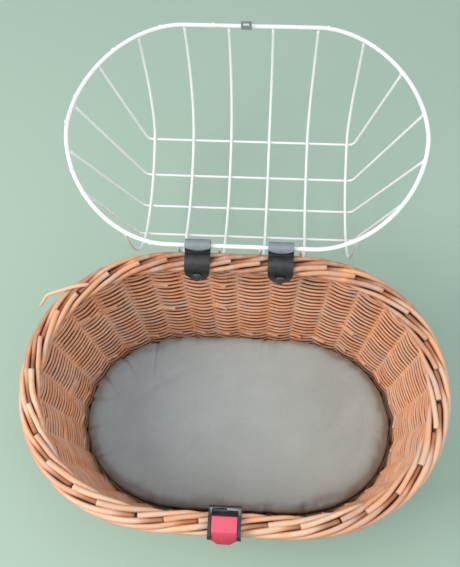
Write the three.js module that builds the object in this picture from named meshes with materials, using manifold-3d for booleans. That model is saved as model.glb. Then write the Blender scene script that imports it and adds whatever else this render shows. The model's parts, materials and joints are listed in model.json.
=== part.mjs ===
// Oval willow dog basket for a bicycle, with a cushion, a hinged wire dome lid and a front clasp.
// Millimetres, +Z up, +X to the right, +Y to the hinge at the back.
// The origin is the middle of the base's underside.
import * as THREE from 'three';
import { mergeVertices } from 'three/addons/utils/BufferGeometryUtils.js';
import Module from 'manifold-3d';

const wasm = await Module();
wasm.setup();

// Fits
const seatGap = 0.3; // between pieces that rest on each other
const runningGap = 0.3; // round the hinge wire and the lever pin
const sideGap = 0.5; // beside the lever and the striker

// Basket
const rimLength = 500;
const rimWidth = 334;
const rimTop = 263.5;
const borderDiameter = 27;
const rimFullness = 2.1; // 2 makes the ends true ellipses, more makes them fuller
const wallThickness = 11;
const stakeCount = 34; // upright stakes in the wall, an even number
const weaverRows = 42;
const weaveRelief = 4.5; // a weaver in front of a stake stands out this far
const floorLength = 420;
const floorWidth = 239;
const baseThickness = 12;
const footHeight = 16;
const footBulge = 2;
const walingHeight = 14;
const walingThickness = 14;
const ringEdge = 3; // bevel on the foot and the waling

// Cushion
const cushionThickness = 48;
const cushionSeamHeight = 25; // seam above the cushion's underside
const cushionSideGap = 0.8;
const cushionLowerSide = [[24, 0], [9, 0.18], [1.5, 0.56]]; // inset, and share of the height up to the seam
const cushionUpperSide = [[2.5, 0.35], [13, 0.65], [38, 0.85], [80, 1]]; // the same above the seam
const coverThickness = 1.5;
const coverSlitLength = 180;
const coverSlitHeight = 2;

// Lid
const lidEndOverlap = 6; // frame wire outside the border's inner face at the ends
const lidStraightBeyond = 24; // straight stretch of the frame beyond the rim's
const lidFullness = 1.84;
const frameWire = 5.5;
const hoopWire = 3.8;
const longWire = 3.5;
const hingeOutset = 2; // hinge wire behind the rim's outer face
const hingeRise = 4.5; // hinge wire above the rim's top
const hoopRestGap = 0.7; // open hoops behind the border
const shoulderHeight = 169; // hoop height where its top arc starts
const shoulderReach = 74; // half of the top arc
const domeCrown = 36; // the top arc's control point above the shoulders
const hoopFullness = 0.55;
const innerHoopFrontX = 29.5;
const middleHoopFrontX = 89;
const outerHoopFrontX = 149;
const innerHoopTopX = 28;
const middleHoopTopX = 84;
const outerHoopTopX = 142;
const innerHoopBesideStrap = 10; // at the hinge
const middleHoopBesideStrap = 9;
const outerHoopHingeX = 141;
const innerWireReach = 24.5; // from the lid's middle line, where the inner long wires cross the hoops
const outerWireSpread = 91; // the same, where the long wires meet the frame
const innerWireSpread = 32;
const longWireBeyond = 10; // straight run past the outer hoops
const longWireBend = 9;
const strikerX = -6;
const strikerClearance = 0.55; // closed striker inside the border
const strikerWidth = 14;
const strikerThickness = 1.6;
const strikerDrop = 15.5;
const strikerRise = 2;
const strikerWindowWidth = 8;
const strikerWindowHeight = 7;
const strikerWindowSill = 3;

// Hinge straps
const strapX = 50.5;
const strapWidth = 31;
const strapThickness = 2.6;
const strapLoopThickness = 4;
const strapNeck = 8;
const strapDrop = 18; // tail below the border's middle
const strapTaperStart = 12; // above the border's middle

// Screws and cone nuts through the border
const screwDiameter = 4;
const screwHeadDiameter = 12;
const screwHeadHeight = 3;
const screwHeadEdge = 1;
const nutDiameter = 14;
const hingeNutHeight = 7.5;
const claspNutHeight = 4.6;
const nutSkirt = 2.5;
const nutNose = 6.4;
const nutTipWall = 1.6;
const claspScrewDrop = 9; // below the border's middle

// Clasp
const claspWidth = 36;
const saddleThickness = 2.5;
const saddleDrop = 17;
const cheekThickness = 3.4;
const cheekRise = 7; // cheek's top above the rim's top
const cheekFront = 5; // radius round the pin
const barDepth = 5.3;
const barHeight = 8;
const barRound = 2.5;
const wireClearance = 0.6; // round the closed frame wire
const leverLift = 1.3; // lever's underside above the saddle
const leverThickness = 3.9;
const leverNose = 9; // nose outside the pin
const leverCrease = 3; // where the nose starts to slope, inside the pin
const leverNoseFall = 8;
const leverNoseEdge = 2;
const leverNoseCutAcross = 7.5; // at each corner of the nose
const leverNoseCutAlong = 4;
const leverBevel = 0.8;
const leverHeel = 4.3; // lever below the pin's middle
const pinDiameter = 3;
const pinInset = 3.3; // inside the saddle's outer face
const pinRise = 0.2; // above the saddle's top
const leafWidth = 12;
const leafThickness = 0.8;
const leafFoot = [0.09, 0.42]; // seat on the saddle, as angles in radians
const leafTipBeyond = 5.1; // outside the pin
const leafTipBelow = 6.2; // below the pin

// Facets
const ovalFacets = 48;
const borderFacets = 10;
const frameFacets = 6;
const wireFacets = 6;
const hoopSteps = 7; // for each curve of a hoop
const bendSteps = 4; // for each bend of a long wire
const roundFacets = 16;
const arcFacets = 10;
const fineSteps = 720;

const wireMaterial = new THREE.MeshStandardMaterial({ color: 0xeef4ee, roughness: 0.35, metalness: 0.1 });
const willowMaterial = new THREE.MeshStandardMaterial({ color: 0xc9946c, roughness: 0.6, metalness: 0 });
const wallMaterial = new THREE.MeshStandardMaterial({ color: 0xb98058, roughness: 0.65, metalness: 0 });
const fabricMaterial = new THREE.MeshStandardMaterial({ color: 0x8f918e, roughness: 0.9, metalness: 0 });
const fillingMaterial = new THREE.MeshStandardMaterial({ color: 0xe6e2d6, roughness: 1, metalness: 0 });
const strapMaterial = new THREE.MeshStandardMaterial({ color: 0x2b2c2d, roughness: 0.5, metalness: 0 });
const leverMaterial = new THREE.MeshStandardMaterial({ color: 0xd9243c, roughness: 0.35, metalness: 0 });
const steelMaterial = new THREE.MeshStandardMaterial({ color: 0x9a9da2, roughness: 0.35, metalness: 1 });

const borderRadius = borderDiameter / 2;
const borderZ = rimTop - borderRadius;
const borderY = rimWidth / 2 - borderRadius;
const borderX = rimLength / 2 - borderRadius;
const walingTop = borderZ - borderRadius - seatGap;
const walingBottom = walingTop - walingHeight;
const wallTop = walingBottom - seatGap;
const wallBottom = footHeight + seatGap;
const rimStraight = strapX + strapWidth / 2; // half of the straight stretch at the front and the back
const frameRadius = frameWire / 2;
const hingeY = rimWidth / 2 + hingeOutset;
const hingeZ = rimTop + hingeRise;
const strikerFace = rimWidth / 2 - borderDiameter - strikerClearance;
const lidFrontY = strikerFace + seatGap + frameRadius;
const lidWidth = hingeY + lidFrontY;
const lidMiddle = lidWidth / 2;
const lidLength = rimLength - 2 * borderDiameter + 2 * lidEndOverlap;
const rimShape = { straight: rimStraight, fullness: rimFullness };
const lidShape = { straight: rimStraight + lidStraightBeyond, fullness: lidFullness };
const longWireReach = [shoulderReach, innerWireReach];
const longWireSpread = [outerWireSpread, innerWireSpread];
const longWireFlat = outerHoopTopX + longWireBeyond;
const hoopFrontX = [innerHoopFrontX, middleHoopFrontX, outerHoopFrontX];
const hoopTopX = [innerHoopTopX, middleHoopTopX, outerHoopTopX];
const hoopHingeX = [
  strapX - strapWidth / 2 - innerHoopBesideStrap,
  strapX + strapWidth / 2 + middleHoopBesideStrap,
  outerHoopHingeX,
];
const screwBore = screwDiameter + 2 * runningGap;
const pinBore = pinDiameter + 2 * runningGap;
const saddleOuter = borderRadius + seatGap + saddleThickness;

// A solid's triangles turned so that they face out.
function closedGeometry(positions, indices) {
  const a = new THREE.Vector3();
  const b = new THREE.Vector3();
  const c = new THREE.Vector3();
  let volume = 0;
  for (let i = 0; i < indices.length; i += 3) {
    a.fromArray(positions, 3 * indices[i]);
    b.fromArray(positions, 3 * indices[i + 1]);
    c.fromArray(positions, 3 * indices[i + 2]);
    volume += a.dot(b.cross(c));
  }
  if (volume < 0) {
    indices.reverse();
  }
  const geometry = new THREE.BufferGeometry();
  geometry.setAttribute('position', new THREE.Float32BufferAttribute(positions, 3));
  geometry.setIndex(indices);
  return geometry;
}

// Rings of equal counts joined into one skin, closed on itself or capped at both ends.
// Each four-sided face is folded along one diagonal, and along the other where isCrossed says so.
function skinRings(rings, capped, isCrossed = () => false) {
  const count = rings[0].length;
  const positions = rings.flat().flatMap((p) => [p.x, p.y, p.z]);
  const indices = [];
  const bands = capped ? rings.length - 1 : rings.length;
  for (let r = 0; r < bands; r += 1) {
    const here = r * count;
    const next = ((r + 1) % rings.length) * count;
    for (let i = 0; i < count; i += 1) {
      const j = (i + 1) % count;
      if (isCrossed(r, i)) {
        indices.push(here + i, here + j, next + i, here + j, next + j, next + i);
      } else {
        indices.push(here + i, here + j, next + j, here + i, next + j, next + i);
      }
    }
  }
  if (capped) {
    addCap(rings[0], 0, positions, indices, true);
    addCap(rings[rings.length - 1], (rings.length - 1) * count, positions, indices, false);
  }
  return closedGeometry(positions, indices);
}

function addCap(ring, first, positions, indices, reversed) {
  const middle = new THREE.Vector3();
  ring.forEach((p) => middle.addScaledVector(p, 1 / ring.length));
  const hub = positions.length / 3;
  positions.push(middle.x, middle.y, middle.z);
  for (let i = 0; i < ring.length; i += 1) {
    const j = (i + 1) % ring.length;
    if (reversed) {
      indices.push(hub, first + j, first + i);
    } else {
      indices.push(hub, first + i, first + j);
    }
  }
}

// Half-width of an oval at a distance along it from its middle.
function ovalWidthAt(along, halfLength, halfWidth, { straight, fullness }) {
  const share = Math.max(0, Math.abs(along) - straight) / (halfLength - straight);
  return halfWidth * (1 - share ** fullness) ** (1 / fullness);
}

// Half-length of an oval at a distance across it from its middle.
function ovalLengthAt(across, halfLength, halfWidth, { straight, fullness }) {
  const share = Math.abs(across) / halfWidth;
  return straight + (halfLength - straight) * (1 - share ** fullness) ** (1 / fullness);
}

// Evenly spaced points round an oval with straight sides and full round ends.
function ovalRing(halfLength, halfWidth, { straight, fullness }, z, count = ovalFacets) {
  const fine = [];
  for (let i = 0; i <= fineSteps; i += 1) {
    const turn = (2 * Math.PI * (i % fineSteps)) / fineSteps;
    const along = Math.cos(turn);
    const across = Math.sin(turn);
    const end = (halfLength - straight) * Math.abs(along) ** (2 / fullness);
    const x = Math.sign(along) * (straight + end);
    const y = Math.sign(across) * halfWidth * Math.abs(across) ** (2 / fullness);
    fine.push(new THREE.Vector3(x, y, z));
  }
  const lengths = [0];
  for (let i = 1; i < fine.length; i += 1) {
    lengths.push(lengths[i - 1] + fine[i].distanceTo(fine[i - 1]));
  }
  const ring = [];
  let at = 0;
  for (let k = 0; k < count; k += 1) {
    const target = (lengths[fineSteps] * k) / count;
    while (lengths[at + 1] < target) {
      at += 1;
    }
    const share = (target - lengths[at]) / (lengths[at + 1] - lengths[at]);
    ring.push(fine[at].clone().lerp(fine[at + 1], share));
  }
  return ring;
}

function solidOf(geometry) {
  const bare = geometry.index ? geometry.toNonIndexed() : geometry.clone();
  bare.deleteAttribute('normal');
  bare.deleteAttribute('uv');
  const merged = mergeVertices(bare, 1e-4);
  const vertProperties = merged.attributes.position.array;
  const triVerts = new Uint32Array(merged.index.array);
  return new wasm.Manifold(new wasm.Mesh({ numProp: 3, vertProperties, triVerts }));
}

function geometryOf(solid) {
  const mesh = solid.getMesh();
  const geometry = new THREE.BufferGeometry();
  geometry.setAttribute('position', new THREE.Float32BufferAttribute(mesh.vertProperties, 3));
  geometry.setIndex(Array.from(mesh.triVerts));
  return geometry;
}

function subtractAll(geometry, cutters) {
  return geometryOf(cutters.reduce((solid, cutter) => solid.subtract(solidOf(cutter)), solidOf(geometry)));
}

function addAll(geometries) {
  const solids = geometries.map(solidOf);
  return geometryOf(solids.slice(1).reduce((sum, solid) => sum.add(solid), solids[0]));
}

function intersect(geometry, other) {
  return geometryOf(solidOf(geometry).intersect(solidOf(other)));
}

// A profile in the plane across the rim, +Y out of the basket and +Z up, drawn out along X.
function acrossRim(shape, width) {
  const options = { depth: width, bevelEnabled: false, curveSegments: arcFacets };
  const geometry = new THREE.ExtrudeGeometry(shape, options);
  geometry.translate(0, 0, -width / 2);
  const axes = new THREE.Matrix4().makeBasis(
    new THREE.Vector3(0, 1, 0),
    new THREE.Vector3(0, 0, 1),
    new THREE.Vector3(1, 0, 0),
  );
  return geometry.applyMatrix4(axes);
}

// An outline in X and Z drawn out along Y, to both sides.
function throughRim(shape, depth) {
  const options = { depth, bevelEnabled: false, curveSegments: arcFacets };
  const geometry = new THREE.ExtrudeGeometry(shape, options);
  geometry.translate(0, 0, -depth / 2);
  return geometry.rotateX(Math.PI / 2);
}

function polygon(points) {
  return new THREE.Shape(points.map(([x, y]) => new THREE.Vector2(x, y)));
}

function box(lowX, highX, lowY, highY, lowZ, highZ) {
  const geometry = new THREE.BoxGeometry(highX - lowX, highY - lowY, highZ - lowZ);
  return geometry.translate((lowX + highX) / 2, (lowY + highY) / 2, (lowZ + highZ) / 2);
}

function rodAlongX(diameter, length) {
  return new THREE.CylinderGeometry(diameter / 2, diameter / 2, length, roundFacets).rotateZ(Math.PI / 2);
}

function rodAlongY(diameter, length) {
  return new THREE.CylinderGeometry(diameter / 2, diameter / 2, length, roundFacets);
}

function mesh(name, geometry, material) {
  const flat = geometry.index ? geometry.toNonIndexed() : geometry;
  flat.computeVertexNormals();
  const made = new THREE.Mesh(flat, material);
  made.name = name;
  return made;
}

const basket = new THREE.Group();

// The wall's inner half-sizes at a height.
function wallInside(z) {
  const share = z / wallTop;
  const topX = borderX - wallThickness / 2;
  const topY = borderY - wallThickness / 2;
  return [
    floorLength / 2 + (topX - floorLength / 2) * share,
    floorWidth / 2 + (topY - floorWidth / 2) * share,
  ];
}

function wallRing(z, outset) {
  const [halfLength, halfWidth] = wallInside(z);
  return ovalRing(halfLength + outset, halfWidth + outset, rimShape, z, stakeCount);
}

// A weaver along one face of the wall: raised at every second stake and sunk at the others.
function weaverRing(row, z, raised, sunk) {
  const front = wallRing(z, raised);
  const behind = wallRing(z, sunk);
  return front.map((point, stake) => ((row + stake) % 2 === 0 ? point : behind[stake]));
}

function bevelledRing(innerX, innerY, thickness, low, high) {
  const section = [
    [ringEdge, low],
    [thickness - ringEdge, low],
    [thickness, low + ringEdge],
    [thickness, high - ringEdge],
    [thickness - ringEdge, high],
    [0, high],
    [0, low],
  ];
  const rings = section.map(([out, z]) => ovalRing(innerX + out, innerY + out, rimShape, z));
  return skinRings(rings, false);
}

function makeBase() {
  const halfLength = floorLength / 2 - seatGap;
  const halfWidth = floorWidth / 2 - seatGap;
  const low = ovalRing(halfLength, halfWidth, rimShape, 0);
  const high = ovalRing(halfLength, halfWidth, rimShape, baseThickness);
  return skinRings([low, high], true);
}

function makeFoot() {
  return bevelledRing(floorLength / 2, floorWidth / 2, wallThickness + footBulge, 0, footHeight);
}

// Plain weave: each row is in front of the stakes that the rows above and below it are behind.
function makeWall() {
  const pitch = (wallTop - wallBottom) / weaverRows;
  const edge = weaveRelief / 2;
  const outside = [wallRing(wallBottom, wallThickness - edge)];
  const inside = [wallRing(wallBottom, edge)];
  for (let row = 0; row < weaverRows; row += 1) {
    const z = wallBottom + (row + 1 / 2) * pitch;
    outside.push(weaverRing(row, z, wallThickness, wallThickness - weaveRelief));
    inside.push(weaverRing(row, z, weaveRelief, 0));
  }
  outside.push(wallRing(wallTop, wallThickness - edge));
  inside.push(wallRing(wallTop, edge));
  const rings = [...outside, ...inside.reverse()];
  return skinRings(rings, false, (ring, stake) => (ring + stake) % 2 === 1);
}

function makeWaling() {
  const inset = walingThickness / 2;
  return bevelledRing(borderX - inset, borderY - inset, walingThickness, walingBottom, walingTop);
}

// The rolled border, bored for the hinge screws at the back and the clasp screw at the front.
function makeBorder() {
  const rings = [];
  for (let k = 0; k < borderFacets; k += 1) {
    const turn = (2 * Math.PI * k) / borderFacets;
    const out = borderRadius * Math.cos(turn);
    const z = borderZ + borderRadius * Math.sin(turn);
    rings.push(ovalRing(borderX + out, borderY + out, rimShape, z));
  }
  const through = 2 * borderDiameter;
  const left = rodAlongY(screwBore, through).translate(-strapX, borderY, borderZ);
  const right = rodAlongY(screwBore, through).translate(strapX, borderY, borderZ);
  const front = rodAlongY(screwBore, through).translate(0, -borderY, borderZ - claspScrewDrop);
  return subtractAll(skinRings(rings, false), [left, right, front]);
}

basket.add(mesh('base_weave', makeBase(), wallMaterial));
basket.add(mesh('foot_waling', makeFoot(), willowMaterial));
basket.add(mesh('woven_wall', makeWall(), wallMaterial));
basket.add(mesh('upper_waling', makeWaling(), willowMaterial));
basket.add(mesh('rim_border', makeBorder(), willowMaterial));

// The cushion is crowned, and its sides draw in to a seam.
const cushion = new THREE.Group();
cushion.position.z = baseThickness + seatGap;

function cushionForm(skin) {
  const [sideX, sideY] = wallInside(baseThickness + seatGap + cushionSeamHeight);
  const crown = cushionThickness - cushionSeamHeight;
  const profile = [
    ...cushionLowerSide.map(([inset, share]) => [inset, share * cushionSeamHeight]),
    [0, cushionSeamHeight],
    ...cushionUpperSide.map(([inset, share]) => [inset, cushionSeamHeight + share * crown]),
  ];
  const rings = profile.map(([inset, height]) => {
    const halfLength = sideX - cushionSideGap - inset - skin;
    const halfWidth = sideY - cushionSideGap - inset - skin;
    const squeeze = skin * (1 - (2 * height) / cushionThickness);
    return ovalRing(halfLength, halfWidth, rimShape, height + squeeze);
  });
  return skinRings(rings, true);
}

function makeCover() {
  const [, sideY] = wallInside(baseThickness + seatGap + cushionSeamHeight);
  const half = coverSlitLength / 2;
  const low = cushionSeamHeight - coverSlitHeight / 2;
  const slit = box(-half, half, sideY / 2, sideY, low, low + coverSlitHeight);
  return subtractAll(cushionForm(0), [cushionForm(coverThickness), slit]);
}

cushion.add(mesh('cushion_cover', makeCover(), fabricMaterial));
cushion.add(mesh('cushion_core', cushionForm(coverThickness + seatGap), fillingMaterial));

// The lid is drawn closed, with its hinge wire on X, and turned open on that wire.
const lid = new THREE.Group();
lid.position.set(0, hingeY, hingeZ);
const openLean = (hoopRestGap + hoopWire / 2 - hingeOutset) / (hingeZ - borderZ);
lid.rotation.x = Math.asin(openLean) - Math.PI;

// A point of the lid: across it, in front of its middle line, and above its frame.
function onLid(x, ahead, height) {
  return new THREE.Vector3(x, -(lidMiddle + ahead), height);
}

// A round wire with flat ends through the points of a row of curves.
function wireAlong(curves, diameter, steps) {
  const path = new THREE.CurvePath();
  curves.forEach((curve) => path.add(curve));
  const points = path.getPoints(steps);
  const side = new THREE.Vector3(0, 1, 0);
  const rings = points.map((point, i) => {
    const before = points[Math.max(i - 1, 0)];
    const after = points[Math.min(i + 1, points.length - 1)];
    const into = point.clone().sub(before).normalize();
    const onward = after.clone().sub(point).normalize();
    const along = into.add(onward).normalize();
    side.addScaledVector(along, -side.dot(along));
    if (side.lengthSq() < 1e-6) {
      side.set(1, 0, 0);
    }
    side.normalize();
    return wireRing(point, side, along.cross(side), diameter / 2);
  });
  return skinRings(rings, true);
}

function wireRing(point, side, other, radius) {
  const ring = [];
  for (let k = 0; k < wireFacets; k += 1) {
    const turn = (2 * Math.PI * k) / wireFacets;
    const spoke = point.clone().addScaledVector(side, radius * Math.cos(turn));
    ring.push(spoke.addScaledVector(other, radius * Math.sin(turn)));
  }
  return ring;
}

function makeFrame() {
  const rings = [];
  for (let k = 0; k < frameFacets; k += 1) {
    const turn = (2 * Math.PI * (k + 0.5)) / frameFacets;
    const out = frameRadius * Math.cos(turn);
    const ring = ovalRing(lidLength / 2 + out, lidMiddle + out, lidShape, frameRadius * Math.sin(turn));
    rings.push(ring.map((p) => p.setY(p.y - lidMiddle)));
  }
  return skinRings(rings, false);
}

// Flat arc that all hoops share over the dome's top, at a given place across the lid.
function crownArc(x) {
  return new THREE.QuadraticBezierCurve3(
    onLid(x, shoulderReach, shoulderHeight),
    onLid(x, 0, shoulderHeight + domeCrown),
    onLid(x, -shoulderReach, shoulderHeight),
  );
}

// One side of a hoop, from its shoulder down to the frame, at the front (+1) or the hinge (-1).
function hoopSide(topX, endX, side) {
  const reach = ovalWidthAt(endX, lidLength / 2, lidMiddle, lidShape);
  const foot = frameRadius + seatGap;
  const out = hoopFullness * (reach - shoulderReach);
  const fall = (out * domeCrown) / shoulderReach;
  return new THREE.CubicBezierCurve3(
    onLid(topX, side * shoulderReach, shoulderHeight),
    onLid(topX, side * (shoulderReach + out), shoulderHeight - fall),
    onLid(endX, side * reach, foot + hoopFullness * (shoulderHeight - foot)),
    onLid(endX, side * reach, foot),
  );
}

function reversed(curve) {
  return new THREE.CubicBezierCurve3(curve.v3, curve.v2, curve.v1, curve.v0);
}

function makeHoop(index, hand) {
  const topX = hand * hoopTopX[index];
  const front = hoopSide(topX, hand * hoopFrontX[index], 1);
  const hinge = hoopSide(topX, hand * hoopHingeX[index], -1);
  return wireAlong([reversed(front), crownArc(topX), hinge], hoopWire, hoopSteps);
}

// A long wire runs straight over the hoops, bends at both ends and slopes down to the frame.
function makeLongWire(index, side) {
  const crossing = 0.5 - longWireReach[index] / (2 * shoulderReach);
  const arc = crownArc(0);
  const touch = arc.getPoint(crossing);
  const slope = arc.getTangent(crossing);
  const clear = (hoopWire + longWire) / 2 + seatGap;
  const ahead = slope.z * clear - touch.y - lidMiddle;
  const height = slope.y * clear + touch.z;
  const endX = ovalLengthAt(longWireSpread[index], lidLength / 2, lidMiddle, lidShape);
  const corner = onLid(longWireFlat, side * ahead, height);
  const end = onLid(endX, side * longWireSpread[index], 0);
  const fall = end.clone().sub(corner).normalize();
  const lean = Math.sqrt(1 - fall.z * fall.z);
  end.addScaledVector(fall, (frameRadius + seatGap + (longWire / 2) * lean) / fall.z);
  const flat = new THREE.Vector3(-longWireBend, 0, 0).add(corner);
  const drop = corner.clone().addScaledVector(fall, longWireBend);
  const mirror = (p) => new THREE.Vector3(-p.x, p.y, p.z);
  const curves = [
    new THREE.LineCurve3(mirror(end), mirror(drop)),
    new THREE.QuadraticBezierCurve3(mirror(drop), mirror(corner), mirror(flat)),
    new THREE.LineCurve3(mirror(flat), flat),
    new THREE.QuadraticBezierCurve3(flat, corner, drop),
    new THREE.LineCurve3(drop, end),
  ];
  return wireAlong(curves, longWire, bendSteps);
}

// The striker stands on the inner side of the frame's front wire and hangs down when the lid is shut.
function makeStriker() {
  const face = -(hingeY + strikerFace);
  const half = strikerWidth / 2;
  const sill = -strikerDrop + strikerWindowSill;
  const plate = box(
    strikerX - half,
    strikerX + half,
    face,
    face + strikerThickness,
    -strikerDrop,
    strikerRise,
  );
  const window = box(
    strikerX - strikerWindowWidth / 2,
    strikerX + strikerWindowWidth / 2,
    face - strikerThickness,
    face + 2 * strikerThickness,
    sill,
    sill + strikerWindowHeight,
  );
  return subtractAll(plate, [window]);
}

lid.add(mesh('lid_frame_wire', makeFrame(), wireMaterial));
const hoopPlaces = [[2, -1], [1, -1], [0, -1], [0, 1], [1, 1], [2, 1]];
hoopPlaces.forEach(([index, hand], k) => {
  lid.add(mesh(`lid_hoop_${k + 1}`, makeHoop(index, hand), wireMaterial));
});
const longWirePlaces = [[0, 1], [1, 1], [1, -1], [0, -1]];
longWirePlaces.forEach(([index, side], k) => {
  lid.add(mesh(`lid_long_wire_${k + 1}`, makeLongWire(index, side), wireMaterial));
});
lid.add(mesh('lid_striker', makeStriker(), steelMaterial));

// A band over the border, with both tails hanging below the border's middle.
function saddleBand(thickness, drop) {
  const inner = borderRadius + seatGap;
  const outer = inner + thickness;
  const shape = new THREE.Shape();
  shape.moveTo(outer, -drop);
  shape.lineTo(outer, 0);
  shape.absarc(0, 0, outer, 0, Math.PI, false);
  shape.lineTo(-outer, -drop);
  shape.lineTo(-inner, -drop);
  shape.lineTo(-inner, 0);
  shape.absarc(0, 0, inner, Math.PI, 0, true);
  shape.lineTo(inner, -drop);
  return shape;
}

// Width of a hinge strap against height: full at the top, drawn in to a round tip.
function strapOutline() {
  const half = strapWidth / 2;
  const top = hingeZ - borderZ + borderRadius;
  const fall = strapTaperStart + strapDrop;
  const shape = new THREE.Shape();
  shape.moveTo(-half, top);
  shape.lineTo(-half, strapTaperStart);
  shape.absellipse(0, strapTaperStart, half, fall, Math.PI, 2 * Math.PI, false);
  shape.lineTo(half, top);
  return shape;
}

function makeStrap() {
  const loopY = hingeY - borderY;
  const loopZ = hingeZ - borderZ;
  const bore = frameWire + 2 * runningGap;
  const loop = rodAlongX(bore + 2 * strapLoopThickness, strapWidth).translate(0, loopY, loopZ);
  const reach = Math.hypot(loopY, loopZ);
  const start = borderRadius + seatGap + strapThickness / 2;
  const neck = box(-strapWidth / 2, strapWidth / 2, start, reach, -strapNeck / 2, strapNeck / 2);
  neck.rotateX(Math.atan2(loopZ, loopY));
  const body = addAll([acrossRim(saddleBand(strapThickness, strapDrop), strapWidth), loop, neck]);
  const cut = intersect(body, throughRim(strapOutline(), 4 * borderDiameter));
  const wire = rodAlongX(bore, 2 * strapWidth).translate(0, loopY, loopZ);
  const screw = rodAlongY(screwBore, 4 * borderDiameter);
  return subtractAll(cut, [wire, screw]);
}

// A screw with its head outside a band of the given thickness and its tip in the cone nut.
function makeScrew(thickness, nutHeight) {
  const face = borderRadius + thickness + 2 * seatGap;
  const tip = seatGap + nutTipWall - face - nutHeight;
  const radius = screwDiameter / 2;
  const profile = [
    [0, tip],
    [radius, tip],
    [radius, face],
    [screwHeadDiameter / 2, face],
    [screwHeadDiameter / 2, face + screwHeadEdge],
    [screwHeadDiameter / 3, face + screwHeadHeight],
    [0, face + screwHeadHeight],
  ];
  return new THREE.LatheGeometry(profile.map(([r, y]) => new THREE.Vector2(r, y)), roundFacets);
}

function makeNut(thickness, nutHeight) {
  const face = -(borderRadius + thickness + 2 * seatGap);
  const bore = screwBore / 2;
  const boreEnd = face - nutHeight + nutTipWall;
  const profile = [
    [0, face - nutHeight],
    [nutNose / 4, face - nutHeight],
    [nutNose / 2, face - nutHeight + nutNose / 4],
    [nutDiameter / 2, face - nutSkirt],
    [nutDiameter / 2, face],
    [bore, face],
    [bore, boreEnd],
    [0, boreEnd],
  ];
  return new THREE.LatheGeometry(profile.map(([r, y]) => new THREE.Vector2(r, y)), roundFacets);
}

// Groups on the border: +Y is out of the basket, and the origin is the border's middle.
function onBorder(x, y) {
  const group = new THREE.Group();
  group.position.set(x, y, borderZ);
  group.rotation.z = y < 0 ? Math.PI : 0;
  return group;
}

const hinges = [['left', -strapX], ['right', strapX]].map(([hand, x]) => {
  const hinge = onBorder(x, borderY);
  const screw = mesh(`hinge_screw_${hand}`, makeScrew(strapThickness, hingeNutHeight), steelMaterial);
  const nut = mesh(`hinge_cone_nut_${hand}`, makeNut(strapThickness, hingeNutHeight), strapMaterial);
  hinge.add(mesh(`hinge_strap_${hand}`, makeStrap(), strapMaterial), screw, nut);
  return hinge;
});

// The clasp
const clasp = onBorder(0, -borderY);
const wireSeat = hingeZ - borderZ - frameRadius - wireClearance;
const wireFrontY = lidFrontY - borderY + frameRadius + wireClearance;
const cheekTop = borderRadius + cheekRise;
const pinReach = saddleOuter - pinInset;
const pinZ = saddleOuter + pinRise;

function cheekShape() {
  const shape = new THREE.Shape();
  shape.moveTo(-saddleOuter, 0);
  shape.lineTo(-saddleOuter, wireSeat);
  shape.lineTo(wireFrontY, wireSeat);
  shape.lineTo(wireFrontY, cheekTop);
  shape.lineTo(pinReach, pinZ + cheekFront);
  shape.absarc(pinReach, pinZ, cheekFront, Math.PI / 2, -Math.PI / 2, true);
  shape.lineTo(saddleOuter, 0);
  return shape;
}

function barShape() {
  const outer = -(borderRadius + seatGap);
  const inner = outer - barDepth;
  const low = wireSeat - barHeight;
  const shape = new THREE.Shape();
  shape.moveTo(outer, low);
  shape.lineTo(outer, wireSeat);
  shape.lineTo(inner + barRound, wireSeat);
  shape.absarc(inner + barRound, wireSeat - barRound, barRound, Math.PI / 2, Math.PI, false);
  shape.absarc(inner + barRound, low + barRound, barRound, Math.PI, 1.5 * Math.PI, false);
  return shape;
}

function makeSaddle() {
  const cheekX = (claspWidth - cheekThickness) / 2;
  const band = acrossRim(saddleBand(saddleThickness, saddleDrop), claspWidth);
  const bar = acrossRim(barShape(), claspWidth);
  const left = acrossRim(cheekShape(), cheekThickness).translate(-cheekX, 0, 0);
  const right = acrossRim(cheekShape(), cheekThickness).translate(cheekX, 0, 0);
  const slotHalf = strikerWidth / 2 + 2 * sideGap;
  const slotBack = strikerFace - borderY - strikerThickness - sideGap;
  const slotFloor = hingeZ - borderZ - strikerDrop - 2 * sideGap;
  const slot = box(
    -strikerX - slotHalf,
    -strikerX + slotHalf,
    slotBack,
    -borderRadius,
    slotFloor,
    2 * borderDiameter,
  );
  const border = rodAlongX(2 * (borderRadius + seatGap), 2 * claspWidth);
  const pin = rodAlongX(pinBore, 2 * claspWidth).translate(0, pinReach, pinZ);
  const screw = rodAlongY(screwBore, 4 * borderDiameter).translate(0, 0, -claspScrewDrop);
  return subtractAll(addAll([band, bar, left, right]), [border, slot, pin, screw]);
}

function makeLever() {
  const width = claspWidth - 2 * cheekThickness - 2 * sideGap;
  const low = saddleOuter + leverLift;
  const top = low + leverThickness;
  const heel = wireFrontY + sideGap;
  const nose = pinReach + leverNose;
  const noseLow = top - leverNoseFall - leverNoseEdge;
  const profile = [
    [heel, low],
    [heel, top - leverBevel],
    [heel + leverBevel, top],
    [pinReach - leverCrease, top],
    [nose, top - leverNoseFall],
    [nose, noseLow],
    [nose - leverNoseEdge, noseLow],
    [pinReach + leverNoseEdge, pinZ - leverHeel],
    [pinReach, pinZ - leverHeel],
    [pinReach - leverHeel, pinZ - leverNoseEdge],
    [pinReach - 2 * leverHeel, low],
  ];
  const half = width / 2;
  const plan = polygon([
    [-half, -2 * borderDiameter],
    [half, -2 * borderDiameter],
    [half, nose - leverNoseCutAlong],
    [half - leverNoseCutAcross, nose],
    [-half + leverNoseCutAcross, nose],
    [-half, nose - leverNoseCutAlong],
  ]);
  const corners = new THREE.ExtrudeGeometry(plan, { depth: 2 * borderDiameter, bevelEnabled: false });
  const body = intersect(acrossRim(polygon(profile), width), corners);
  return subtractAll(body, [rodAlongX(pinBore, claspWidth).translate(0, pinReach, pinZ)]);
}

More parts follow.
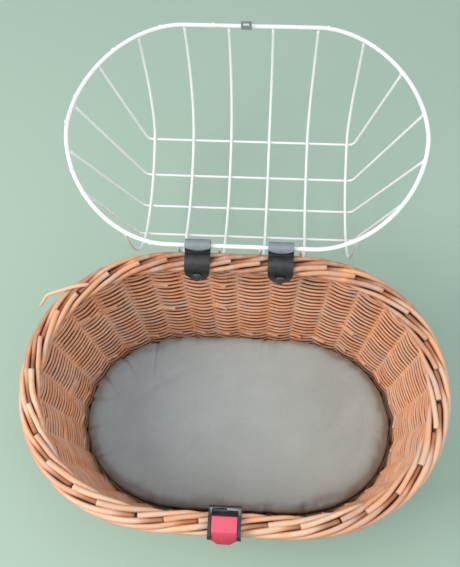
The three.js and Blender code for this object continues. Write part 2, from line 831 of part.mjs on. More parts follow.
function makeLeaf() {
  const inner = saddleOuter + seatGap;
  const outer = inner + leafThickness;
  const [start, end] = leafFoot;
  const tipY = pinReach + leafTipBeyond;
  const tipZ = pinZ - leafTipBelow;
  const shape = new THREE.Shape();
  shape.absarc(0, 0, outer, start, end, false);
  shape.lineTo(tipY + leafThickness, tipZ - leafThickness);
  shape.lineTo(tipY, tipZ);
  shape.absarc(0, 0, inner, end, start, true);
  return acrossRim(shape, leafWidth);
}

const claspScrew = mesh('clasp_screw', makeScrew(saddleThickness, claspNutHeight), steelMaterial);
const claspNut = mesh('clasp_cone_nut', makeNut(saddleThickness, claspNutHeight), strapMaterial);
const claspPin = mesh('clasp_pin', rodAlongX(pinDiameter, claspWidth), steelMaterial);
claspScrew.position.z = -claspScrewDrop;
claspNut.position.z = -claspScrewDrop;
claspPin.position.set(0, pinReach, pinZ);
clasp.add(mesh('clasp_saddle', makeSaddle(), strapMaterial));
clasp.add(mesh('clasp_lever', makeLever(), leverMaterial));
clasp.add(mesh('clasp_leaf_spring', makeLeaf(), steelMaterial));
clasp.add(claspScrew, claspNut, claspPin);

const dogBasket = new THREE.Group();
dogBasket.name = 'dog_bicycle_basket';
dogBasket.add(basket, cushion, lid, ...hinges, clasp);

export default dogBasket;
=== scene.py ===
import json
import math
import random

import bpy
import numpy as np
from mathutils import Matrix, Vector


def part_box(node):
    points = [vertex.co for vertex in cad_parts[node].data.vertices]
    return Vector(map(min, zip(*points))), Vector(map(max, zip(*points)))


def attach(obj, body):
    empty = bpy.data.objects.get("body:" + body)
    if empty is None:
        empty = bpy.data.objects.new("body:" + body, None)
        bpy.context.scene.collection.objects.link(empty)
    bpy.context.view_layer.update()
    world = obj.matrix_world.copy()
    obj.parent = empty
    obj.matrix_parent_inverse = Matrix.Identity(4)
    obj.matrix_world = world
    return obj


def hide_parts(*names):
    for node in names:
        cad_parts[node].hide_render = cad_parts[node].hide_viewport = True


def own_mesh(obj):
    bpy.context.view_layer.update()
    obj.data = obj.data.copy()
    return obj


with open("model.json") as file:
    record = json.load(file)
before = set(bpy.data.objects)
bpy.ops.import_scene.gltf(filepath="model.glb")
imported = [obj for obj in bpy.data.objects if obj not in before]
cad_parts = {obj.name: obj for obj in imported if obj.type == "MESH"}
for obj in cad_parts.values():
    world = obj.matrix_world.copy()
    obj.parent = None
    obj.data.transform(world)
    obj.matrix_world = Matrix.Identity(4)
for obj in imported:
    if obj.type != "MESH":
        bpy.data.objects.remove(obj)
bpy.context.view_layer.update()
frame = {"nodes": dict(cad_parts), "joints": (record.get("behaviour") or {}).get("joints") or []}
print("frame loaded")

upward = np.array([0.0, 0.0, 1.0])
tiny = 1e-9  # keeps a division clear of zero
mergeReach = 0.00002  # corners of a CAD node's triangles that lie closer are one


# Small helpers

def deselectAll():
    if bpy.context.mode != "OBJECT":
        bpy.ops.object.mode_set(mode="OBJECT")
    bpy.ops.object.select_all(action="DESELECT")


def makeActive(piece):
    deselectAll()
    piece.select_set(True)
    bpy.context.view_layer.objects.active = piece


def addObject(name, data):
    item = bpy.data.objects.new(name, data)
    bpy.context.scene.collection.objects.link(item)
    return item


def mergedCopy(node, name, flatAngle=0.0):
    # triangles flatter to each other than the angle, in degrees, become one face
    piece = addObject(name, frame["nodes"][node].data.copy())
    makeActive(piece)
    bpy.ops.mesh.customdata_custom_splitnormals_clear()
    bpy.ops.object.mode_set(mode="EDIT")
    bpy.ops.mesh.select_all(action="SELECT")
    bpy.ops.mesh.remove_doubles(threshold=mergeReach)
    if flatAngle:
        bpy.ops.mesh.dissolve_limited(angle_limit=math.radians(flatAngle))
    bpy.ops.object.mode_set(mode="OBJECT")
    return piece


def applyModifiers(piece):
    makeActive(piece)
    for modifier in list(piece.modifiers):
        bpy.ops.object.modifier_apply(modifier=modifier.name)


def roundOff(piece, levels):
    smooth = piece.modifiers.new("roundOff", "SUBSURF")
    smooth.levels = levels
    smooth.render_levels = levels
    applyModifiers(piece)


def readVectors(layer, field):
    values = np.zeros(len(layer) * 3)
    layer.foreach_get(field, values)
    return values.reshape(-1, 3)


def readPoints(piece):
    return readVectors(piece.data.vertices, "co")


def readNormals(piece):
    return readVectors(piece.data.vertex_normals, "vector")


def writePoints(piece, points):
    piece.data.vertices.foreach_set("co", points.ravel())
    piece.data.update()


def setFinish(piece, finish):
    piece.data.materials.clear()
    piece.data.materials.append(finish)


def seat(piece, body, slotName, *nodes):
    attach(piece, body)
    if nodes:
        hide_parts(*nodes)
    return piece


def pieceName(node):
    # clasp_leaf_spring becomes claspLeafSpring
    first, *others = node.split("_")
    return first + "".join(word.capitalize() for word in others)


def evenShares(count):
    return np.arange(count) / count


def chance(dice, least, more):
    return least + more * dice.random()


def either(dice, size):
    return dice.uniform(-size, size)


def smoothStep(low, high, value):
    share = np.clip((value - low) / (high - low), 0.0, 1.0)
    return share * share * (3.0 - 2.0 * share)


def unit(vectors):
    return vectors / np.linalg.norm(vectors, axis=-1, keepdims=True)


def wobble(shares, dice, waves, size):
    total = np.zeros(len(shares))
    for wave in waves:
        total += np.sin(2.0 * math.pi * (wave * shares + dice.random()))
    return size * total / len(waves)


# Ovals: straight along the middle, with full round ends

ovalSteps = 3601  # a tenth of a degree each
ovalNudge = 0.004  # each way, to see which way the oval runs


def ovalTable(halfLength, halfWidth, straight, fullness):
    turn = np.linspace(0.0, 2.0 * math.pi, ovalSteps)
    along = np.cos(turn)
    across = np.sin(turn)
    across[-1] = 0.0
    x = np.sign(along) * (straight + (halfLength - straight) * np.abs(along) ** (2.0 / fullness))
    y = np.sign(across) * halfWidth * np.abs(across) ** (2.0 / fullness)
    steps = np.hypot(np.diff(x), np.diff(y))
    return x, y, np.concatenate([[0.0], np.cumsum(steps)])


def ovalPoints(size, shares, z=0.0):
    x, y, reach = ovalTable(*size)
    length = reach[-1]

    def spot(at):
        wrapped = np.mod(at, length)
        return np.stack([np.interp(wrapped, reach, x), np.interp(wrapped, reach, y)], axis=-1)

    at = np.asarray(shares) * length
    ahead = unit(spot(at + ovalNudge) - spot(at - ovalNudge))
    points = np.zeros((len(at), 3))
    points[:, :2] = spot(at)
    points[:, 2] = z
    outward = np.zeros((len(at), 3))
    outward[:, 0] = ahead[:, 1]
    outward[:, 1] = -ahead[:, 0]
    return points, outward


def ovalWidthAt(x, halfLength, halfWidth, straight, fullness):
    share = max(0.0, abs(x) - straight) / (halfLength - straight)
    return halfWidth * (1.0 - share ** fullness) ** (1.0 / fullness)


def ovalLengthAt(y, halfLength, halfWidth, straight, fullness):
    share = abs(y) / halfWidth
    return straight + (halfLength - straight) * (1.0 - share ** fullness) ** (1.0 / fullness)


# Rods and wires swept along rows of points

rodGrain = dict(
    radius=0.003,
    shift=7.3,  # keeps rods of different tones apart in the grain's pattern
)
nearlyUpright = 0.1


def carrySide(along):
    side = np.cross(along[0], upward)
    if np.linalg.norm(side) < nearlyUpright:
        side = np.array([1.0, 0.0, 0.0])
    sides = []
    for direction in along:
        side = unit(side - direction * np.dot(side, direction))
        sides.append(side)
    return np.array(sides)


def rodRings(rod, facets):
    points = rod["points"]
    if rod.get("closed"):
        along = unit(np.roll(points, -1, axis=0) - np.roll(points, 1, axis=0))
    else:
        along = unit(np.gradient(points, axis=0))
    if "side" in rod:
        side = unit(rod["side"] - along * np.sum(rod["side"] * along, axis=1, keepdims=True))
    else:
        side = carrySide(along)
    other = np.cross(along, side)
    turn = 2.0 * math.pi * np.arange(facets) / facets
    wide = np.broadcast_to(rod["radius"], len(points))
    tall = wide * rod.get("tallness", 1.0)
    rings = points[:, None, :] + wide[:, None, None] * np.cos(turn)[None, :, None] * side[:, None, :]
    rings = rings + tall[:, None, None] * np.sin(turn)[None, :, None] * other[:, None, :]
    return rings, turn


def rodFaces(count, facets, closed, first):
    # quads from ring to ring, and a cap on each end of an open rod
    bands = count if closed else count - 1
    ring = np.repeat(np.arange(bands), facets)
    here = np.tile(np.arange(facets), bands)
    after = (here + 1) % facets
    nextRing = (ring + 1) % count
    quads = np.stack([ring * facets + here, ring * facets + after,
                      nextRing * facets + after, nextRing * facets + here], axis=1) + first
    if closed:
        return quads.tolist(), []
    start = first + np.arange(facets)[::-1]
    end = first + (count - 1) * facets + np.arange(facets)
    return quads.tolist(), [start.tolist(), end.tolist()]


def grainSpace(rod, turn):
    steps = np.linalg.norm(np.diff(rod["points"], axis=0), axis=1)
    reach = np.concatenate([[0.0], np.cumsum(steps)]) + rodGrain["shift"] * rod.get("tone", 0.0)
    space = np.zeros((len(reach), len(turn), 3))
    space[:, :, 0] = np.cos(turn) * rodGrain["radius"]
    space[:, :, 1] = np.sin(turn) * rodGrain["radius"]
    space[:, :, 2] = reach[:, None]
    return space.reshape(-1, 3)


def shaded(rod, facets, core, reach, fall, across=None):
    # painted shade: how deep each point of a rod lies in its weave, 0 at the weave's face, 1 at the bottom;
    # the willow darkens with it
    rings, _ = rodRings(rod, facets)
    away = rings - core[:, None, :]
    if across is None:
        height = np.linalg.norm(away, axis=2)
    else:
        height = np.abs(np.sum(away * across[:, None, :], axis=2))
    face = np.broadcast_to(reach, len(rings))[:, None]
    rod["paintedShade"] = np.clip((face - height) / fall, 0.0, 1.0)
    return rod


def sweepRods(name, rods, facets, finishes):
    # finishes: one for the rods, and one for their cut ends where they have them
    verts, faces, ends, space, tones, paintedShades = [], [], [], [], [], []
    first = 0
    for rod in rods:
        rings, turn = rodRings(rod, facets)
        count = len(rings)
        verts.append(rings.reshape(-1, 3))
        space.append(grainSpace(rod, turn))
        tones.append(np.full(count * facets, rod.get("tone", 0.0)))
        paintedShades.append(rod.get("paintedShade", np.zeros((count, facets))).ravel())
        quads, caps = rodFaces(count, facets, rod.get("closed", False), first)
        faces.extend(quads + caps)
        ends.extend([0] * len(quads) + [1] * len(caps))
        first += count * facets
    mesh = bpy.data.meshes.new(name)
    mesh.from_pydata(np.concatenate(verts).tolist(), [], faces)
    for finish in finishes:
        mesh.materials.append(finish)
    ends = np.array(ends, dtype=np.int32)
    mesh.polygons.foreach_set("material_index", np.minimum(ends, len(finishes) - 1))
    mesh.polygons.foreach_set("use_smooth", ends == 0)
    for label, kind, field, values in (("rodSpace", "FLOAT_VECTOR", "vector", space),
                                       ("rodTone", "FLOAT", "value", tones),
                                       ("rodPaintedShade", "FLOAT", "value", paintedShades)):
        layer = mesh.attributes.new(label, kind, "POINT")
        layer.data.foreach_set(field, np.concatenate(values).ravel())
    mesh.update()
    return addObject(name, mesh)


# Nodes for the finishes

def newFinish(name):
    finish = bpy.data.materials.new(name)
    finish.use_nodes = True
    tree = finish.node_tree
    return finish, tree, tree.nodes["Principled BSDF"]


def setInputs(node, values):
    # a value that is another node's output gets linked
    for key, value in values.items():
        if isinstance(value, bpy.types.NodeSocket):
            node.id_data.links.new(value, node.inputs[key])
        else:
            node.inputs[key].default_value = value


def addNode(tree, kind, output, inputs, **settings):
    node = tree.nodes.new("ShaderNode" + kind)
    for key, value in settings.items():
        setattr(node, key, value)
    setInputs(node, inputs)
    return node.outputs[output]


def addRamp(tree, factor, stops):
    colour = addNode(tree, "ValToRGB", "Color", {"Fac": factor})
    elements = colour.node.color_ramp.elements
    while len(elements) < len(stops):
        elements.new(0.5)
    for element, (place, tone) in zip(elements, stops):
        element.position = place
        element.color = (*tone, 1.0)
    return colour


def addMath(tree, operation, *values):
    return addNode(tree, "Math", 0, dict(enumerate(values)), operation=operation)


def addRange(tree, value, low, high):
    return addNode(tree, "MapRange", "Result", {"Value": value, "To Min": low, "To Max": high})


def addMix(tree, factor, first, second):
    return addNode(tree, "Mix", 2, {0: factor, 6: first, 7: (*second, 1.0)}, data_type="RGBA")


def addTint(tree, colour, tint):
    return addNode(tree, "VectorMath", "Vector", {0: colour, 1: tint}, operation="MULTIPLY")


def addNoise(tree, vector, scale, detail=2.0, roughness=0.5, stretch=None):
    if stretch:
        vector = addNode(tree, "Mapping", "Vector", {"Vector": vector, "Scale": stretch})
    inputs = {"Vector": vector, "Scale": scale, "Detail": detail, "Roughness": roughness}
    return addNode(tree, "TexNoise", "Fac", inputs)


def addBump(tree, height, strength, distance):
    return addNode(tree, "Bump", "Normal", {"Height": height, "Strength": strength, "Distance": distance})


def addAttribute(tree, name, output="Fac"):
    return addNode(tree, "Attribute", output, {}, attribute_name=name)


def objectSpace(tree):
    return addNode(tree, "TexCoord", "Object", {})


# Willow

willow = dict(
    peeled=[(0.0, (0.45, 0.20, 0.105)), (0.35, (0.66, 0.355, 0.215)),
            (0.65, (0.79, 0.48, 0.31)), (1.0, (0.90, 0.64, 0.45))],
    # brighter than the peeled willow, as painted light against the shade inside the basket
    weaver=[(0.0, (0.62, 0.275, 0.14)), (0.35, (0.83, 0.425, 0.245)),
            (0.65, (0.93, 0.54, 0.345)), (1.0, (0.97, 0.69, 0.50))],
    streak=dict(scale=950.0, detail=3.0, stretch=(1.0, 1.0, 0.035)),
    patch=dict(scale=55.0, stretch=(1.0, 1.0, 0.25)),
    broad=dict(scale=9.0),
    toneShare=0.5,
    patternShares=(0.34, 0.34, 0.24),  # of the streaks, patches and broad tones
    darken=0.22,
    weather=dict(scale=42.0, detail=3.0, roughness=0.6, stretch=(1.0, 1.0, 0.4)),
    wear=[(0.50, (0.0, 0.0, 0.0)), (0.68, (0.55, 0.55, 0.55))],
    grey=(0.60, 0.47, 0.40),
    glow=[(0.34, (0.7, 0.7, 0.7)), (0.50, (0.0, 0.0, 0.0))],
    amber=(0.84, 0.37, 0.17),
    # painted shade: the willow darkens with the rod's depth in the weave
    depth=[(0.28, (1.0, 1.0, 1.0)), (0.62, (0.60, 0.43, 0.32)), (0.92, (0.19, 0.095, 0.055))],
    roughness=(0.42, 0.66),
    bump=(0.35, 0.0006),  # strength and distance, here and in the other finishes
)


def willowFinish(name, stops):
    finish, tree, shader = newFinish(name)
    grain = addAttribute(tree, "rodSpace", "Vector")
    place = objectSpace(tree)
    streak = addNoise(tree, grain, **willow["streak"])
    patch = addNoise(tree, grain, **willow["patch"])
    broad = addNoise(tree, place, **willow["broad"])
    weathered = addNoise(tree, place, **willow["weather"])
    mixed = addMath(tree, "MULTIPLY", addAttribute(tree, "rodTone"), willow["toneShare"])
    for pattern, share in zip((streak, patch, broad), willow["patternShares"]):
        mixed = addMath(tree, "MULTIPLY_ADD", pattern, share, mixed)
    mixed = addMath(tree, "SUBTRACT", mixed, willow["darken"])
    colour = addRamp(tree, mixed, stops)
    # grey streaks that run upright: weathered willow, partly painted sky reflection
    colour = addMix(tree, addRamp(tree, weathered, willow["wear"]), colour, willow["grey"])
    colour = addMix(tree, addRamp(tree, weathered, willow["glow"]), colour, willow["amber"])
    # painted shade, from each rod's depth in its weave
    shadeTint = addRamp(tree, addAttribute(tree, "rodPaintedShade"), willow["depth"])
    setInputs(shader, {"Base Color": addTint(tree, colour, shadeTint),
                       "Roughness": addRange(tree, streak, *willow["roughness"]),
                       "Normal": addBump(tree, streak, *willow["bump"])})
    return finish


# Finishes with one pattern of colour

# dark willow for the painted shade inside the rolled border
paintedShadeLook = dict(
    pattern=dict(scale=300.0, detail=3.0),
    stops=[(0.3, (0.05, 0.022, 0.012)), (0.7, (0.11, 0.05, 0.028))],
    inputs={"Roughness": 0.75}, bump=(0.3, 0.0006),
)
pithLook = dict(
    pattern=dict(scale=1600.0, detail=3.0),
    stops=[(0.25, (0.42, 0.25, 0.14)), (0.7, (0.83, 0.66, 0.45))],
    inputs={"Roughness": 0.8}, bump=(0.4, 0.0006),
)
coatingLook = dict(
    pattern=dict(scale=26.0, detail=5.0, roughness=0.62),
    stops=[(0.0, (0.50, 0.34, 0.16)), (0.25, (0.78, 0.71, 0.52)),
           (0.32, (0.91, 0.91, 0.86)), (0.42, (0.95, 0.96, 0.95))],
    inputs={"Roughness": 0.34, "Coat Weight": 0.15, "Subsurface Weight": 0.5,
            "Subsurface Radius": (1.0, 1.0, 1.0), "Subsurface Scale": 0.003},
    grain=dict(scale=420.0, detail=3.0), bump=(0.12, 0.0008),
)
steelLook = dict(
    pattern=dict(scale=160.0, detail=3.0, stretch=(1.0, 12.0, 12.0)),
    stops=[(0.2, (0.34, 0.34, 0.34)), (0.8, (0.62, 0.62, 0.63))],
    inputs={"Metallic": 1.0, "Roughness": 0.36}, bump=(0.1, 0.0003),
)


def plainFinish(name, look):
    finish, tree, shader = newFinish(name)
    place = objectSpace(tree)
    pattern = addNoise(tree, place, **look["pattern"])
    setInputs(shader, {"Base Color": addRamp(tree, pattern, look["stops"]), **look["inputs"]})
    if "bump" in look:
        height = addNoise(tree, place, **look["grain"]) if "grain" in look else pattern
        setInputs(shader, {"Normal": addBump(tree, height, *look["bump"])})
    return finish


# Plastics

plastic = dict(
    scuff=dict(scale=130.0, detail=5.0, roughness=0.65),
    darkAt=0.3, lightAt=0.75, smoother=0.08, rougher=0.1,
    bump=(0.12, 0.0003),
)
plasticTones = dict(  # dark and light, roughness, grain, and the lighter tone painted on the faces that look up, as painted light and sky reflection
    strapBlack=((0.012, 0.0125, 0.013), (0.034, 0.035, 0.036), 0.42, 900.0),
    # a lighter grey copy of the strap's black for its lap: painted sky reflection
    strapSkySheen=((0.185, 0.215, 0.24), (0.25, 0.29, 0.32), 0.44, 900.0),
    claspBlack=((0.013, 0.0137, 0.015), (0.033, 0.035, 0.038), 0.42, 900.0, (0.20, 0.225, 0.24)),
    nutBlack=((0.026, 0.028, 0.031), (0.055, 0.059, 0.064), 0.28, 600.0),
    leverRed=((0.43, 0.034, 0.052), (0.53, 0.047, 0.072), 0.38, 700.0, (0.69, 0.078, 0.135)),
)


def plasticFinish(name, dark, light, roughness, grain, topLitTone=None):
    finish, tree, shader = newFinish(name)
    place = objectSpace(tree)
    scuff = addNoise(tree, place, **plastic["scuff"])
    colour = addRamp(tree, scuff, [(plastic["darkAt"], dark), (plastic["lightAt"], light)])
    if topLitTone:
        # painted light and sky reflection on the faces that look up
        colour = addMix(tree, addAttribute(tree, "paintedTopLight"), colour, topLitTone)
    sheen = addRange(tree, scuff, roughness - plastic["smoother"], roughness + plastic["rougher"])
    relief = addBump(tree, addNoise(tree, place, grain), *plastic["bump"])
    setInputs(shader, {"Base Color": colour, "Roughness": sheen, "Normal": relief})
    return finish


# Cushion cloth

fabric = dict(
    fading=dict(scale=11.0, detail=4.0, roughness=0.6, stretch=(1.0, 1.4, 1.0)),
    yarn=dict(scale=900.0, stretch=(1.0, 0.22, 1.0)),
    pick=dict(scale=900.0, stretch=(0.22, 1.0, 1.0)),
    threadShare=0.28, fadingShare=0.62,
    stops=[(0.3, (0.40, 0.437, 0.439)), (0.6, (0.472, 0.515, 0.515)), (0.85, (0.539, 0.58, 0.574))],
    length=0.40,
    # painted light: bluish shade at the left end, warm light at the right
    tint=[(0.0, (0.85, 0.925, 0.985)), (0.5, (0.84, 0.85, 0.84)), (1.0, (0.93, 0.925, 0.87))],
    inputs={"Roughness": 0.92, "Sheen Weight": 0.25, "Sheen Roughness": 0.5},
    bump=(0.3, 0.0004),
)


def clothFinish():
    finish, tree, shader = newFinish("greyCushionCloth")
    place = objectSpace(tree)
    fading = addNoise(tree, place, **fabric["fading"])
    yarn = addNoise(tree, place, **fabric["yarn"])
    pick = addNoise(tree, place, **fabric["pick"])
    threads = addMath(tree, "ADD", yarn, pick)
    shade = addMath(tree, "MULTIPLY", fading, fabric["fadingShare"])
    shade = addMath(tree, "MULTIPLY_ADD", threads, fabric["threadShare"], shade)
    x = addNode(tree, "SeparateXYZ", "X", {"Vector": place})
    side = addMath(tree, "MULTIPLY_ADD", x, 1.0 / fabric["length"], 0.5)  # 0 at the left, 1 at the right
    colour = addRamp(tree, shade, fabric["stops"])
    # painted light and shade across the cushion, from left to right
    colour = addTint(tree, colour, addRamp(tree, side, fabric["tint"]))
    relief = addBump(tree, threads, *fabric["bump"])
    setInputs(shader, {"Base Color": colour, "Normal": relief, **fabric["inputs"]})
    return finish


peeledWillow = willowFinish("peeledWillow", willow["peeled"])
litWeaverWillow = willowFinish("litWeaverWillow", willow["weaver"])
paintedShadeWillow = plainFinish("willowInShade", paintedShadeLook)
willowPith = plainFinish("willowPith", pithLook)
wireCoating = plainFinish("whiteWireCoating", coatingLook)
plastics = {name: plasticFinish(name, *tones) for name, tones in plasticTones.items()}
zincSteel = plainFinish("zincSteel", steelLook)
greyCloth = clothFinish()
print("finishes ready")


# Basket

def willowPiece(name, rods, facets, finishes, *nodes):
    seat(sweepRods(name, rods, facets, finishes), "basket", "willow", *nodes)


basket = dict(
    stakes=34, straight=0.066, fullness=2.1,
    borderHalf=(0.2365, 0.1535),  # middle of the rolled border
    borderRadius=0.0135, borderZ=0.250,
    floorHalf=(0.210, 0.1195),  # inner face of the wall at the floor
    wallThickness=0.011,
)
wallLow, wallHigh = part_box("woven_wall")
wallReach = basket["wallThickness"] / 2


def rimOval(half, outset=0.0):
    return half[0] + outset, half[1] + outset, basket["straight"], basket["fullness"]


def wallOval(z):
    share = min(1.0, z / wallHigh.z)
    half = [low + wallReach + (top - low - wallReach) * share
            for low, top in zip(basket["floorHalf"], basket["borderHalf"])]
    return rimOval(half)


weave = dict(
    rows=42, topRows=3, swing=0.0035, topSwing=0.0044,
    swingUneven=((9, 17, 31), 0.12),  # waves and their size, here and below
    bow=0.3, thickness=0.0020, thicknessUneven=((1, 3, 19), 0.09), tallness=1.3,
    sag=((2, 5, 11, 23), 0.0009),  # the same for all rows, which lie packed on each other
    lift=((7, 19, 37), 0.0005),  # each row's own
    sway=((5, 9, 14), 0.11),  # share of the stakes' spacing
    gloom=0.0034, stepsPerStake=8, facets=8, swaySeed=9, sagSeed=10, seed=11,
)
rowPitch = (wallHigh.z - wallLow.z) / weave["rows"]


def rowHeight(row):
    return wallLow.z + rowPitch * (row + 0.5)


def stakeSway(shares):
    # the stakes aren't quite evenly spaced
    waves, size = weave["sway"]
    return wobble(shares, random.Random(weave["swaySeed"]), waves, size / basket["stakes"])


def weaverRow(row, swing, dice):
    z = rowHeight(row)
    shares = evenShares(basket["stakes"] * weave["stepsPerStake"])
    sag = wobble(shares, random.Random(weave["sagSeed"]), *weave["sag"])
    middle, outward = ovalPoints(wallOval(z), shares, z)
    phase = math.pi * (basket["stakes"] * (shares + stakeSway(shares)) + row)
    bow = np.sin(weave["bow"] * np.cos(phase)) / math.sin(weave["bow"])
    bow = swing * bow * (1.0 + wobble(shares, dice, *weave["swingUneven"]))
    lift = sag + wobble(shares, dice, *weave["lift"])
    points = middle + outward * bow[:, None] + upward * lift[:, None]
    radius = weave["thickness"] * (1.0 + wobble(shares, dice, *weave["thicknessUneven"]))
    rod = {"points": points, "side": outward, "radius": radius, "tallness": weave["tallness"],
           "closed": True, "tone": dice.random()}
    return shaded(rod, weave["facets"], middle, np.abs(bow) + radius, weave["gloom"], outward)


def makeWall():
    dice = random.Random(weave["seed"])
    rows = weave["rows"]
    rods = [weaverRow(row, weave["swing"], dice) for row in range(rows)]
    willowPiece("wovenWall", rods, weave["facets"], [litWeaverWillow], "woven_wall")
    rods = [weaverRow(row, weave["topSwing"], dice) for row in range(rows, rows + weave["topRows"])]
    willowPiece("upperWaling", rods, weave["facets"], [litWeaverWillow], "upper_waling")
    print("wall woven,", rows + weave["topRows"], "rows")


# the stakes are drawn as wide flat strips that fill the gaps between the weavers, darkened all over as
# painted shade
wallStakes = dict(
    radius=0.0014,
    flatness=(7.8, 9.4),  # at the foot and at the top
    low=0.004, high=0.240, paintedShade=0.8, steps=9, facets=8, seed=12,
)


def makeStakes():
    dice = random.Random(wallStakes["seed"])
    steps, facets = wallStakes["steps"], wallStakes["facets"]
    even = evenShares(basket["stakes"])
    rods = []
    for share in even - stakeSway(even):
        points = []
        for z in np.linspace(wallStakes["low"], wallStakes["high"], steps):
            spot, outward = ovalPoints(wallOval(z), [share], z)
            points.append(spot[0])
        rods.append({"points": np.array(points), "side": np.repeat(outward, steps, axis=0),
                     "radius": wallStakes["radius"], "tallness": np.linspace(*wallStakes["flatness"], steps),
                     "paintedShade": np.full((steps, facets), wallStakes["paintedShade"]), "tone": dice.random()})
    willowPiece("wallStakes", rods, facets, [litWeaverWillow, willowPith])


weaverEnds = dict(
    footRow=5,  # with an end at each stake
    scattered=14,  # ends anywhere else, between two rows
    scatterFrom=14, scatterBelowTop=2,
    length=1.1,  # in spaces between stakes
    lengthShare=(0.75, 0.5),  # least, and what chance adds
    radius=0.0023, standOff=0.0022, tuck=0.0042, tilt=0.002, steps=9, facets=7, seed=13,
)


def makeWeaverEnds():
    # butts of the weavers, left lying against the inside of the wall
    dice = random.Random(weaverEnds["seed"])
    steps = weaverEnds["steps"]
    places = [(weaverEnds["footRow"], stake) for stake in range(basket["stakes"])]
    for _ in range(weaverEnds["scattered"]):
        row = dice.randrange(weaverEnds["scatterFrom"], weave["rows"] - weaverEnds["scatterBelowTop"])
        places.append((row, dice.randrange(basket["stakes"])))
    rods = []
    for row, stake in places:
        z = rowHeight(row) + rowPitch / 2
        reach = weaverEnds["length"] * chance(dice, *weaverEnds["lengthShare"])
        shares = (stake + np.linspace(0.0, reach, steps)) / basket["stakes"]
        points, outward = ovalPoints(wallOval(z), shares)
        rise = np.linspace(1.0, 0.0, steps) ** 2
        inset = weave["swing"] + weaverEnds["standOff"] * rise - weaverEnds["tuck"] * (1.0 - rise)
        points = points - outward * inset[:, None]
        points[:, 2] = z + np.linspace(0.0, weaverEnds["tilt"] * (dice.random() - 0.5), steps)
        rods.append({"points": points, "side": outward, "radius": weaverEnds["radius"],
                     "tone": dice.random()})
    willowPiece("weaverEnds", rods, weaverEnds["facets"], [litWeaverWillow, willowPith])


# Twined band at the foot

foot = dict(
    strands=3, turns=12, outset=0.001, out=0.0042, up=0.0019, radius=0.0023,
    uneven=((2, 5, 13), 0.05),
    courses=((0.0043, 1), (0.0119, -1)),  # height and hand
    stepsPerTurn=18, facets=8, seed=14,
)


def makeFoot():
    dice = random.Random(foot["seed"])
    oval = rimOval(basket["floorHalf"], wallReach + foot["outset"])
    shares = evenShares(foot["turns"] * foot["stepsPerTurn"])
    rods = []
    for z, hand in foot["courses"]:
        for k in range(foot["strands"]):
            core, outward = ovalPoints(oval, shares, z)
            phase = 2.0 * math.pi * (hand * foot["turns"] * shares + k / foot["strands"])
            points = core + outward * (foot["out"] * np.cos(phase))[:, None]
            points = points + upward * (foot["up"] * np.sin(phase))[:, None]
            radius = foot["radius"] * (1.0 + wobble(shares, dice, *foot["uneven"]))
            rod = {"points": points, "side": outward, "radius": radius,
                   "closed": True, "tone": dice.random()}
            rods.append(shaded(rod, foot["facets"], core, wallReach, wallReach, outward))
    willowPiece("footWaling", rods, foot["facets"], [peeledWillow], "foot_waling")


# Woven base

base = dict(
    rings=17, edge=0.0032, pitch=0.0054, z=0.0056, swing=0.0027, radius=0.0026,
    outerRings=9, outerWaves=34, innerWaves=18,
    straighten=0.0016,  # what each ring inwards gains in straight length
    wander=((3, 7, 12), 0.0006), stepsPerWave=8, facets=7, seed=15,
)
alongSticks = dict(count=5, spread=0.72, steps=12, offset=-0.0018, radius=0.0035)
acrossSticks = dict(count=9, spread=0.86, steps=16, offset=0.0018, radius=0.0034, inset=0.004)


def baseRing(ring, corner, dice):
    inset = base["edge"] + ring * base["pitch"]
    waves = base["outerWaves"] if ring < base["outerRings"] else base["innerWaves"]
    shares = evenShares(waves * base["stepsPerWave"])
    straight = basket["straight"] + base["straighten"] * ring
    z = base["z"] + base["swing"] * np.cos(math.pi * (waves * shares + ring))
    size = (corner.x - inset, corner.y - inset, straight, basket["fullness"])
    points, outward = ovalPoints(size, shares, z)
    points = points + outward * wobble(shares, dice, *base["wander"])[:, None]
    return {"points": points, "side": outward, "radius": base["radius"], "closed": True,
            "tone": dice.random()}


def stickRods(sticks, axis, length, width, dice):
    rods = []
    for place in np.linspace(-1.0, 1.0, sticks["count"]):
        points = np.zeros((sticks["steps"], 3))
        points[:, axis] = np.linspace(-length, length, sticks["steps"])
        points[:, 1 - axis] = width * sticks["spread"] * place
        points[:, 2] = base["z"] + sticks["offset"]
        rods.append({"points": points, "radius": sticks["radius"], "tone": dice.random()})
    return rods


def makeBase():
    dice = random.Random(base["seed"])
    _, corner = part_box("base_weave")
    rods = [baseRing(ring, corner, dice) for ring in range(base["rings"])]
    slath = corner.y - base["rings"] * base["pitch"]
    reach = corner.x - base["rings"] * base["pitch"]
    rods += stickRods(alongSticks, 0, reach, slath, dice)
    rods += stickRods(acrossSticks, 1, corner.y - acrossSticks["inset"], reach, dice)
    willowPiece("wovenBase", rods, base["facets"], [litWeaverWillow, willowPith], "base_weave")
    print("base woven")


# Rolled border: each rod climbs the outside, and its neighbour's end lies cut on top

border = dict(
    rodRadius=0.0033,
    uneven=0.13,  # share by which the thickness varies from rod to rod
    alongUneven=((1, 3), 0.05),  # and along a rod
    sway=((1, 2), 4.0), stagger=0.16,
    turnPerStake=45.0,  # degrees round the border for each stake passed
    climb=(-112.0, 104.0), startSpan=24.0, startDepth=0.004, lieDepth=0.0006,
    dive=(52.0, 94.0), diveSpread=5.0, diveDepth=0.0048,
    end=(94.0, 208.0), endSpread=6.0, endLag=0.22, tuckFrom=160.0, tuckDepth=0.0045,
    gloom=0.0075,
    backShade=0.85,  # the rods along the back are darker: painted shade
    steps=44, facets=10, seed=17,
)


def onBorder(shares, turn, depth):
    points, outward = ovalPoints(rimOval(basket["borderHalf"]), shares, basket["borderZ"])
    angle = np.radians(turn)
    points = points + outward * (depth * np.cos(angle))[:, None]
    return points + upward * (depth * np.sin(angle))[:, None]


